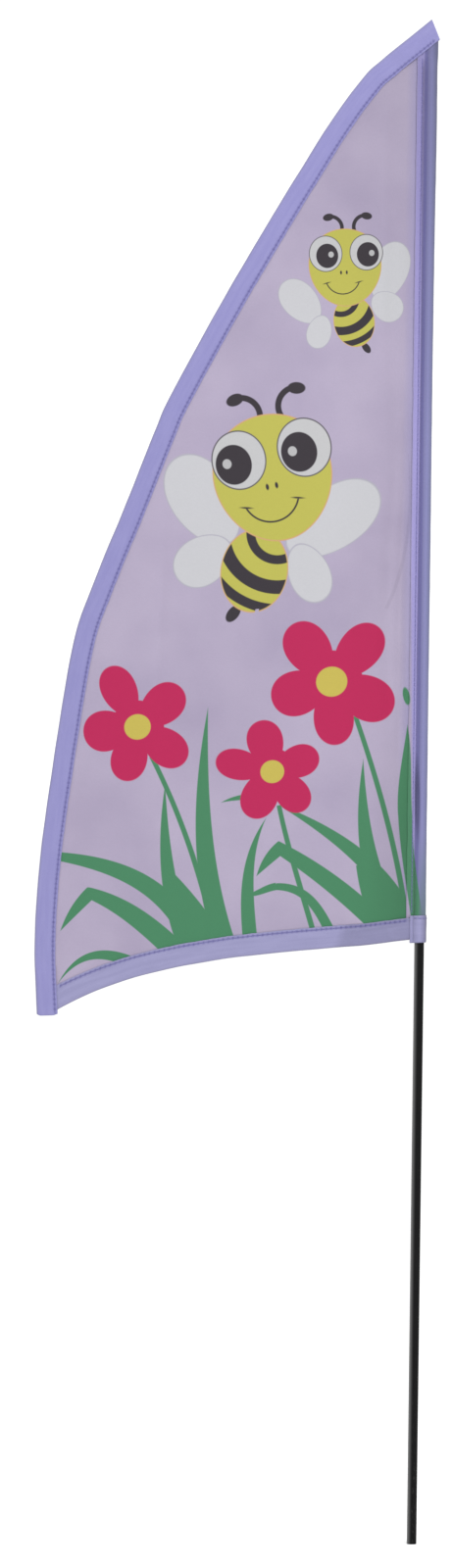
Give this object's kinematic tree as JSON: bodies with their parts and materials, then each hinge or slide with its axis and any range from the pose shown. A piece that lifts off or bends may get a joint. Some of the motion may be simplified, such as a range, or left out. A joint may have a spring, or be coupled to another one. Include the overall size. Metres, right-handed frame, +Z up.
{
  "type": "teardrop flag",
  "caption": "Teardrop cloth flag with taped edges on a straight slim pole; its sleeve turns on the pole and lifts off it.",
  "frame": {"origin": "centre of the pole's flat lower end", "axes": "+Z up along the pole; the flag hangs towards -X; its printed front faces -Y"},
  "size_m": [0.2007, 0.0117, 0.7778],
  "materials": {
    "fibreglass": "black pultruded fibreglass rod, satin",
    "cap_vinyl": "black dipped vinyl",
    "printed_cloth": "plain-woven polyester, printed through",
    "sleeve_cloth": "plain-woven polyester, violet",
    "binding_tape": "folded violet polyester tape",
    "sewing_thread": "violet polyester thread, lockstitch"
  },
  "bodies": {
    "pole": {"pole": "fibreglass"},
    "sleeve_tip": {"pole_tip_cap": "cap_vinyl"},
    "flag": {"printed_panel": "printed_cloth", "pole_sleeve": "sleeve_cloth", "leading_edge_binding": "binding_tape", "lower_edge_binding": "binding_tape", "leading_seam_needle_thread": "sewing_thread", "leading_seam_bobbin_thread": "sewing_thread", "lower_seam_needle_thread": "sewing_thread", "lower_seam_bobbin_thread": "sewing_thread", "sleeve_seam_needle_thread": "sewing_thread", "sleeve_seam_bobbin_thread": "sewing_thread"}
  },
  "joints": [
    {"name": "flag_lift", "type": "slide", "parent": "pole", "child": "sleeve_tip", "axis": [0, 0, 1], "range_m": [0, 0.46]},
    {"name": "flag_swivel", "type": "hinge", "parent": "sleeve_tip", "child": "flag", "pos_m": [0, 0, 0.75], "axis": [0, 0, 1], "continuous": true}
  ]
}
